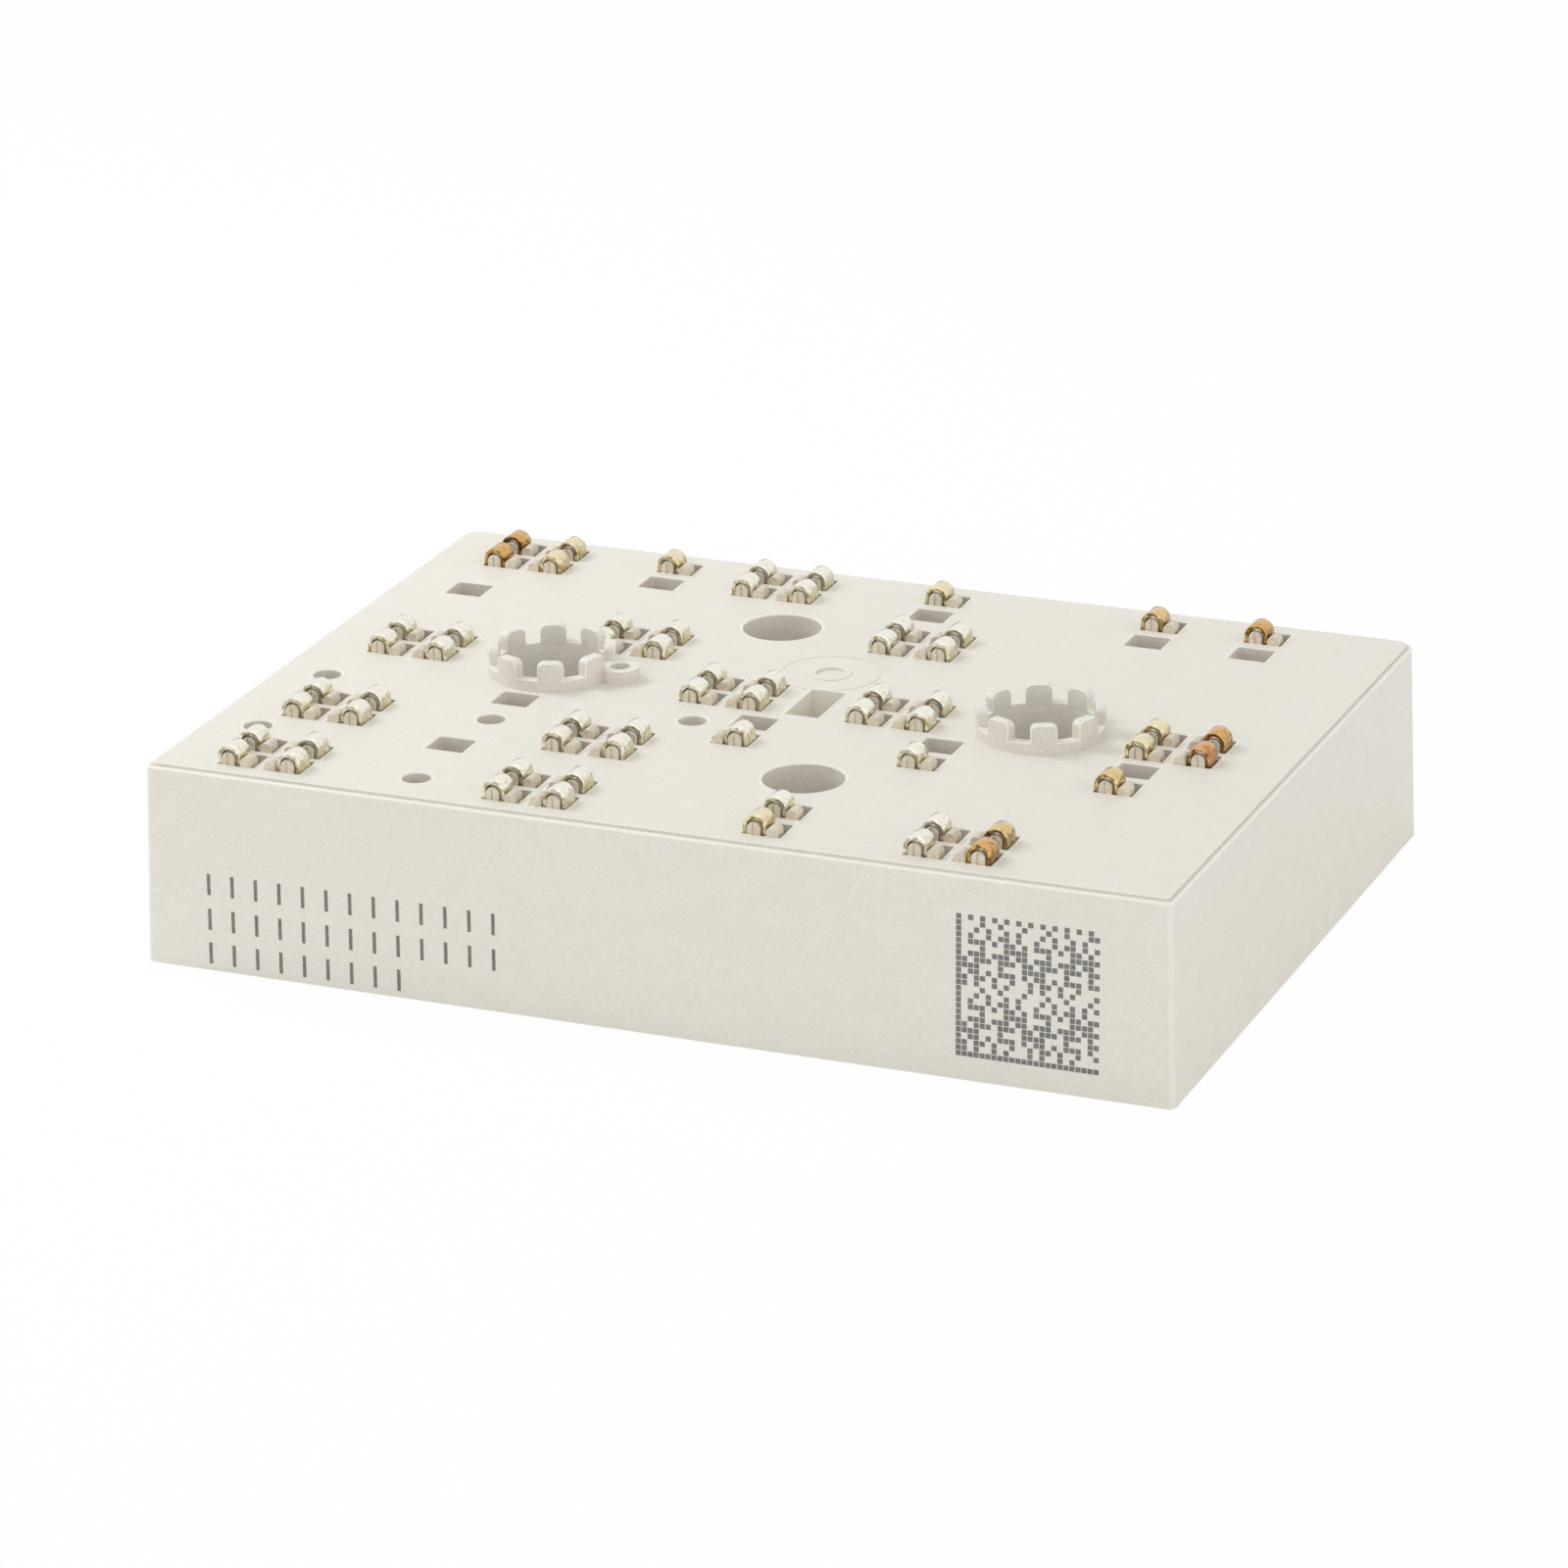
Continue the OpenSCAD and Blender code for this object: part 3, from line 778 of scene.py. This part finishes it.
def columns():
    """The round pieces that hang under the roof or stand on it."""
    z = ROOF_Z + LAP
    drums = [add_drum("crown", c, CROWN_R, CROWN_FOOT_Z, NOTCH_Z, FINE_SIDES) for c in SCREWS]
    drums += [add_drum("cup", c, WELL_R + WELL_WALL, WELL_FLOOR_Z - FLOOR_T, z) for c in WELLS]
    drums += [
        add_drum("boss", c, PEG_R + PEG_WALL, PEG_FLOOR_Z - FLOOR_T, z, SMALL_SIDES)
        for c in PEG_HOLES
    ]
    drums.append(add_drum("lug", LUG, LUG_R, z, LUG_TOP_Z))
    drums.append(add_drum("gate", GATE, GATE_R, z, TOP_Z + GATE_H, FINE_SIDES))
    return drums


def openings():
    """All that is cut from the top: windows, bores, wells, holes and the gate's dish and circle."""
    cuts = [centred_block(p, WINDOW.x, WINDOW.y, SHAFT_Z - PAST, SKY_Z) for p in ALL_SPRINGS]
    cuts += [centred_block(*window, SKY_Z) for window in empty_windows()]
    cuts += [add_drum("bore", c, CROWN_BORE_R, CROWN_FLOOR_Z, SKY_Z, FINE_SIDES) for c in SCREWS]
    cuts += [add_drum("screw", c, SCREW_R, 0, CROWN_FLOOR_Z + PAST) for c in SCREWS]
    cuts += [add_drum("well", c, WELL_R, WELL_FLOOR_Z, SKY_Z) for c in WELLS]
    cuts += [add_drum("peg", c, PEG_R, PEG_FLOOR_Z, SKY_Z, SMALL_SIDES) for c in PEG_HOLES]
    cuts.append(add_drum("lug_bore", LUG, LUG_BORE_R, LUG_FLOOR_Z, SKY_Z, SMALL_SIDES))
    cuts.append(add_drum("gate_dish", GATE, GATE_DISH_R, TOP_Z - GATE_H, SKY_Z, FINE_SIDES))
    low, high = TOP_Z - GATE_RING_T, TOP_Z + GATE_RING_T
    cuts.append(ring_groove(GATE, GATE_RING_R, GATE_RING_W, low, high))
    return cuts


def housing_finish(face):
    """The finish of a face: plain in the slot and the crowns' bores, painted shade in the windows and
    holes, on upright faces above the top and on the steps of the rim and the gate, a painted highlight
    on the rim's rounding and a painted sheen at the corners.
    """
    middle, normal = face.center, face.normal
    upright = abs(normal.z) < SLANT
    inside = abs(middle.x) < FOOT.x / 2 - WALL and abs(middle.y) < FOOT.y / 2 - WALL
    in_slot = near(middle, SLOT, SLOT_REACH) and middle.z > SLOT_Z - HAIR
    in_bore = any(near(middle, c, CROWN_BORE_R + EDGE_ROUND) for c in SCREWS)
    on_gate = near(middle, GATE, GATE_REACH) and middle.z > TOP_Z - GATE_CLEAR
    if in_slot or in_bore:
        return IVORY
    # Faces in the windows and holes and upright faces above the top: painted shade.
    if inside and (middle.z < TOP_Z - GATE_CLEAR or middle.z > TOP_Z + GATE_CLEAR and upright):
        return IVORY_RECESS_SHADE
    # Upright faces of the rim's step and the gate mark: painted shade.
    if upright and (on_gate or RIM_Z < middle.z < TOP_Z and not inside):
        return IVORY_STEP_SHADE
    # The rim's rounding: painted highlight.
    if middle.z > RIM_Z - RIM_ROUND and RIM_SLOPE[0] < normal.z < RIM_SLOPE[1] and not inside:
        return IVORY_EDGE_HIGHLIGHT
    # The rounded corners of the walls: painted sheen.
    if min(abs(normal.x), abs(normal.y)) > SLANT and not inside:
        return IVORY_CORNER_SHEEN
    return IVORY


def edge_share(a, b):
    """Less at the gate mark, none at the foot of the rim's step and of the columns."""
    at_top = both_at(TOP_Z, a, b)
    from_rim = max(abs(a.x) - FOOT.x / 2, abs(a.y) - FOOT.y / 2) + DRAFT
    if from_rim > -RIM_INSET - 2 * HAIR and min(a.z, b.z) > RIM_Z - HAIR:
        return 1 if at_top else 0
    if near(a, GATE, GATE_REACH) and a.z > TOP_Z - GATE_CLEAR:
        on_disc = near(a, GATE, GATE_R + HAIR) and a.z > TOP_Z + HAIR
        return GATE_SHARE if on_disc else 0
    feet = [(c, CROWN_R) for c in SCREWS] + [(LUG, LUG_R)]
    at_foot = any(same((p.xy - Vector(c)).length, r) for c, r in feet for p in (a, b))
    return 0 if at_top and at_foot else 1


def housing():
    """The moulded housing, but for the teeth of its crowns."""
    shell = outer_shell()
    combine(shell, cavities(), "DIFFERENCE")
    combine(shell, [shafts()], "UNION")
    combine(shell, columns(), "UNION")
    combine(shell, openings(), "DIFFERENCE")
    wear(shell, HOUSING_FINISHES, housing_finish)
    round_edges(shell, EDGE_ROUND, share=edge_share, finish=IVORY_EDGE_HIGHLIGHT)
    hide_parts("housing")
    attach(shell, "root")
    return shell


# ---- What stands in each spring window ----


def finger_and_wedge():
    """The moulded finger inside a spring head and the wedge beside it, for a head on the +X side."""
    front = -WINDOW.y / 2 - GUIDE_LAP
    finger_top = TOP_Z + FINGER_H
    finger = add_block(
        "finger",
        (HEAD_X - FINGER_W / 2, front, FINGER_FOOT_Z),
        (HEAD_X + FINGER_W / 2, front + FINGER_T, finger_top),
    )
    edit_edges(
        finger,
        lambda a, b: both_at(finger_top, a, b) and same(a.x, b.x),
        bevel((FINGER_W - FINGER_CREST) / 2, 8),
    )
    round_edges(finger, FINGER_ROUND)
    groove = centred_block((HEAD_X, front), GROOVE_W, 2 * GROOVE_T, TOP_Z, TOP_Z + 2 * FINGER_H)
    combine(finger, [groove], "DIFFERENCE")

    inner = HEAD_X - HEAD_R - STRIP_T / 2 - GUIDE_GAP
    wedge_top = TOP_Z + WEDGE_H
    wedge = add_block(
        "wedge", (inner - WEDGE_L, front, WEDGE_FOOT_Z), (inner, front + WEDGE_W, wedge_top)
    )
    edit_edges(
        wedge,
        lambda a, b: both_at(wedge_top, a, b) and same(a.x, b.x),
        bevel((WEDGE_L - WEDGE_CREST) / 2, 6),
    )
    round_edges(wedge, WEDGE_ROUND, segments=3)
    return join("guide", [finger, wedge])


def lips():
    """A fine lip round every window and hole of the top face, in the paler ivory that paints a highlight
    round them.
    """
    windows = [(p, WINDOW.x, WINDOW.y) for p in ALL_SPRINGS]
    windows += [window[:3] for window in empty_windows()]
    holes = [(c, WELL_R) for c in WELLS] + [(c, PEG_R) for c in PEG_HOLES]

    def solids(margin, z0, z1):
        """Every window and hole as a solid, wider by the margin all round."""
        both = 2 * margin
        blocks = [centred_block(p, x + both, y + both, z0, z1) for p, x, y in windows]
        return blocks + [add_drum("hole", c, r + margin, z0, z1, FINE_SIDES) for c, r in holes]

    plates = solids(LIP_GAP + LIP_W, LIP_FOOT_Z, TOP_Z + LIP_H)
    rings = combine(join("lips", plates), solids(LIP_GAP, 0, SKY_Z), "DIFFERENCE")
    return dress(rings, "housing_plastic", IVORY_EDGE_HIGHLIGHT)


def spring_guides():
    """A finger and a wedge in every window that holds a spring."""
    guide = finger_and_wedge()
    mirrored = copy_of(guide, "mirrored_guide", Matrix.Scale(-1, 4, (1, 0, 0)))
    mirrored.data.flip_normals()
    copies = []
    for x, y, side in ALL_SPRINGS:
        pattern = guide if side > 0 else mirrored
        copies.append(copy_of(pattern, "guide_copy", Matrix.Translation((x, y, 0))))
    for pattern in (guide, mirrored):
        bpy.data.objects.remove(pattern)
    guides = join("spring_guides", copies)
    return dress(guides, "housing_plastic", IVORY_GUIDE_SHADE)


# ---- Springs ----


def arc(centre, radius, start, end, steps):
    """Points along an arc between two angles in degrees."""
    angles = [math.radians(start + (end - start) * i / steps) for i in range(steps + 1)]
    return [(centre[0] + radius * math.cos(a), centre[1] + radius * math.sin(a)) for a in angles]


def spring_line():
    """The middle line of a spring, in X and Z, for a head on the +X side."""
    foot_r = 0.7 * MM
    foot_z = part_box("upper_copper_tracks")[1].z + STRIP_T / 2 + foot_r
    leg_x = HEAD_X - HEAD_R
    leg_z = TOP_Z - 2 * MM
    hook_r = 0.3 * MM
    hook_z = TOP_Z - 0.9 * MM
    sway = 0.75 * MM
    steps = 24
    wave = []
    for i in range(1, steps):
        u = i / steps
        bend = sway * math.sin(math.pi * u) * math.sin(3 * math.pi * u)
        wave.append((foot_r + (leg_x - foot_r) * u - bend, foot_z + (leg_z - foot_z) * u))
    return (
        arc((0, foot_z), foot_r, 200, 350, 8)
        + wave
        + [(leg_x, leg_z)]
        + arc((HEAD_X, HEAD_Z), HEAD_R, 180, 0, 20)
        + arc((HEAD_X + HEAD_R - hook_r, hook_z), hook_r, 0, -130, 6)
    )


def spring():
    """One contact spring: a strip drawn out along its line, thickened and rounded."""
    line = spring_line()
    deselect_all()
    bpy.ops.mesh.primitive_plane_add(size=MM, location=(0, 0, 0))
    strip = bpy.context.object
    bpy.ops.object.mode_set(mode="EDIT")
    bpy.ops.mesh.select_mode(type="VERT")
    bpy.ops.mesh.select_all(action="SELECT")
    bpy.ops.mesh.merge(type="CENTER")
    bpy.ops.transform.translate(value=(line[0][0], -STRIP_W / 2, line[0][1]))
    for here, there in zip(line, line[1:]):
        step = (there[0] - here[0], 0, there[1] - here[1])
        bpy.ops.mesh.extrude_region_move(TRANSFORM_OT_translate={"value": step})
    bpy.ops.mesh.select_all(action="SELECT")
    bpy.ops.mesh.extrude_region_move(TRANSFORM_OT_translate={"value": (0, STRIP_W, 0)})
    bpy.ops.mesh.select_all(action="SELECT")
    bpy.ops.mesh.normals_make_consistent(inside=False)
    bpy.ops.object.mode_set(mode="OBJECT")
    solid = strip.modifiers.new("thickness", "SOLIDIFY")
    solid.thickness = STRIP_T
    solid.offset = 0
    solid.use_even_offset = True
    bpy.ops.object.modifier_apply(modifier=solid.name)
    rolled, cut = SILVERED
    wear(strip, SILVERED, lambda face: cut if abs(face.normal.y) > FACING else rolled)
    return round_edges(strip, STRIP_ROUND, angle=60)


# Finish of each spring in a node, in the order left front, left back, right front, right back
TINTED = {
    "spring_block_1": [AMBER, AMBER, PALE_GILT, PALE_GILT],
    "spring_block_11": [PALE_GILT, PALE_GILT, COPPERY, AMBER],
    "spring_block_13": [SILVERED, SILVERED, AMBER, GILT],
    "spring_pair": [PALE_GILT, SILVERED],
    "single_spring_1": [PALE_GILT],
    "single_spring_2": [PALE_GILT],
    "single_spring_3": [GILT],
    "single_spring_4": [AMBER],
    "single_spring_6": [GILT],
}


def springs():
    """Every spring as a piece of its own, in its node's place and its own finish."""
    pattern = spring()
    for name, places in SPRINGS.items():
        finishes = TINTED.get(name, [SILVERED] * len(places))
        for number, ((x, y, side), finish) in enumerate(zip(places, finishes), 1):
            place = Matrix.Translation((x, y + STRIP_Y, 0))
            turn = Matrix.Rotation(0 if side > 0 else math.pi, 4, "Z")
            piece = copy_of(pattern, f"{name}_{number}", place @ turn)
            dress(piece, "spring_bronze", *finish)
            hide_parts(name)
    bpy.data.objects.remove(pattern)


# ---- Marks on the front wall ----

WALL_LEAN = math.atan2(DRAFT, RIM_Z - FOOT_Z)
MARK_T = 0.02 * MM
CELL_GAP = 0.03 * MM  # from a marked cell to its grid line
TICK_ROWS = [(7.0 * MM, 13), (4.2 * MM, 13), (1.5 * MM, 9)]  # height and number of ticks
TICK_X = -35.6 * MM  # the first tick of each row
TICK_PITCH = 1.95 * MM
TICK_W = 0.28 * MM
TICK_H = 1.7 * MM


def on_front_wall(x, z):
    """Where and how a flat mark lies on the leaning front wall."""
    y = housing_low.y + DRAFT * (z - FOOT_Z) / (RIM_Z - FOOT_Z)
    return {"location": (x, y, z), "rotation": (math.pi / 2 - WALL_LEAN, 0, 0)}


def thicken(piece, thickness):
    """Gives a flat piece its thickness, half to each side."""
    make_active(piece)
    solid = piece.modifiers.new("thickness", "SOLIDIFY")
    solid.thickness = thickness
    solid.offset = 0
    bpy.ops.object.modifier_apply(modifier=solid.name)


def dotted_square():
    """A square field of marked cells: two solid sides, two dashed ones, and cells set by a formula."""
    cells = 24
    size = 11 * MM
    middle_x, middle_z = 29.8 * MM, 7.45 * MM
    deselect_all()
    bpy.ops.mesh.primitive_grid_add(
        x_subdivisions=cells, y_subdivisions=cells, size=size, **on_front_wall(middle_x, middle_z)
    )
    field = settle(bpy.context.object)
    field.name = "marked_square"

    def unmarked(face):
        column = int(((face.center.x - middle_x) / size + 0.5) * cells)
        row = int(((face.center.z - middle_z) / size + 0.5) * cells)
        if column == 0 or row == 0:
            return False
        if column == cells - 1:
            return row % 2 == 1
        if row == cells - 1:
            return column % 2 == 1
        return (column * column * 7 + row * row * 5 + column * row * 3) % 11 > 4

    edit_faces(field, unmarked, lambda: bpy.ops.mesh.delete(type="FACE"))

    def part_cells():
        bpy.ops.mesh.inset(thickness=CELL_GAP, use_individual=True)
        bpy.ops.mesh.select_all(action="INVERT")
        bpy.ops.mesh.delete(type="FACE")

    edit_faces(field, lambda face: True, part_cells)
    thicken(field, MARK_T)
    return dress(field, "housing_plastic", MARK)


def tick_rows():
    """Three rows of plain tick marks."""
    ticks = []
    for z, count in TICK_ROWS:
        for k in range(count):
            deselect_all()
            bpy.ops.mesh.primitive_plane_add(size=1, **on_front_wall(TICK_X + TICK_PITCH * k, z))
            tick = bpy.context.object
            tick.scale = (TICK_W, TICK_H, 1)
            ticks.append(settle(tick))
    marks = join("tick_rows", ticks)
    thicken(marks, MARK_T)
    return dress(marks, "housing_plastic", MARK)


# ---- Camera, lights and floor ----


def camera():
    """A long lens a little to the right of the front, looking down on the module."""
    azimuth, elevation, roll = math.radians(22.423), math.radians(20.799), math.radians(-0.881)
    target = Vector((-10.012, 22.094, 0)) * MM
    distance = 549.77 * MM
    back = Vector(
        (
            math.sin(azimuth) * math.cos(elevation),
            -math.cos(azimuth) * math.cos(elevation),
            math.sin(elevation),
        )
    )
    deselect_all()
    bpy.ops.object.camera_add()
    eye = bpy.context.object
    eye.data.sensor_width = 36
    eye.data.lens = 156.67
    eye.data.clip_start = 0.01
    eye.location = target + back * distance
    eye.rotation_mode = "QUATERNION"
    tilt = Matrix.Rotation(roll, 4, "Z").to_quaternion()
    eye.rotation_quaternion = (-back).to_track_quat("-Z", "Y") @ tilt
    bpy.context.scene.camera = eye


# Each light: name, place and width in metres, and power in watts
LIGHTS = [
    ("key_left", (-0.22, 0.02, 0.22), 0.12, 0.3),
    ("overhead", (0.0, 0.2, 0.5), 0.4, 0.08),
    ("front", (0.1, -0.5, 0.12), 0.35, 0.37),
    ("right", (0.55, 0.1, 0.1), 0.35, 0.48),
]
WHITE = (1, 1, 1, 1)


def soft_light(name, place, size, power):
    """A square light that faces the module."""
    deselect_all()
    bpy.ops.object.light_add(type="AREA", location=place)
    lamp = bpy.context.object
    lamp.name = name
    lamp.data.size = size
    lamp.data.energy = power
    lamp.rotation_mode = "QUATERNION"
    lamp.rotation_quaternion = (-Vector(place)).to_track_quat("-Z", "Y")


def sky():
    """An even white surround, stronger where the camera or a reflection sees it."""
    scene = bpy.context.scene
    scene.view_settings.view_transform = "Standard"
    world = bpy.data.worlds.new("studio")
    scene.world = world
    world.use_nodes = True
    tree = world.node_tree
    tree.nodes.clear()
    ray = node(tree, "LightPath").outputs
    seen = node(tree, "Math", {0: ray["Is Camera Ray"], 1: ray["Is Glossy Ray"]}, operation="MAXIMUM")
    strength = node(tree, "MapRange", {"Value": seen.outputs[0], "To Min": 0.66, "To Max": 1.0})
    light = node(tree, "Background", {"Color": WHITE, "Strength": strength.outputs[0]})
    node(tree, "OutputWorld", {"Surface": light.outputs[0]})


def sweep():
    """White paper under the module, which the camera sees as nearly pure white."""
    deselect_all()
    bpy.ops.mesh.primitive_plane_add(size=4, location=(0, 0, 0))
    floor = bpy.context.object
    floor.name = "floor"
    material, tree, _ = new_material("white_sweep")
    paper = node(tree, "BsdfDiffuse", {"Color": (0.94, 0.94, 0.94, 1)})
    glow = node(tree, "Emission", {"Color": WHITE, "Strength": 1})
    ray = node(tree, "LightPath").outputs
    share = node(tree, "Math", {0: ray["Is Camera Ray"], 1: 0.96}, operation="MULTIPLY")
    mixed = node(tree, "MixShader", {0: share.outputs[0], 1: paper.outputs[0], 2: glow.outputs[0]})
    close_material(tree, mixed)
    floor.data.materials.append(material)


def dress_cad_nodes():
    """Gives the CAD nodes that stay in view their materials."""
    slots = {part["node"]: part["material_slot"] for part in frame["record"]["subparts"]}
    for name, cad_node in frame["nodes"].items():
        finish = CAD_FINISHES.get(slots[name])
        if finish:
            cad_node.data.materials.clear()
            cad_node.data.materials.append(finish)


# ---- The whole module ----

camera()
housing()
crown_teeth()
lips()
spring_guides()
springs()
dotted_square()
tick_rows()

dress_cad_nodes()
sky()
for light in LIGHTS:
    soft_light(*light)
sweep()
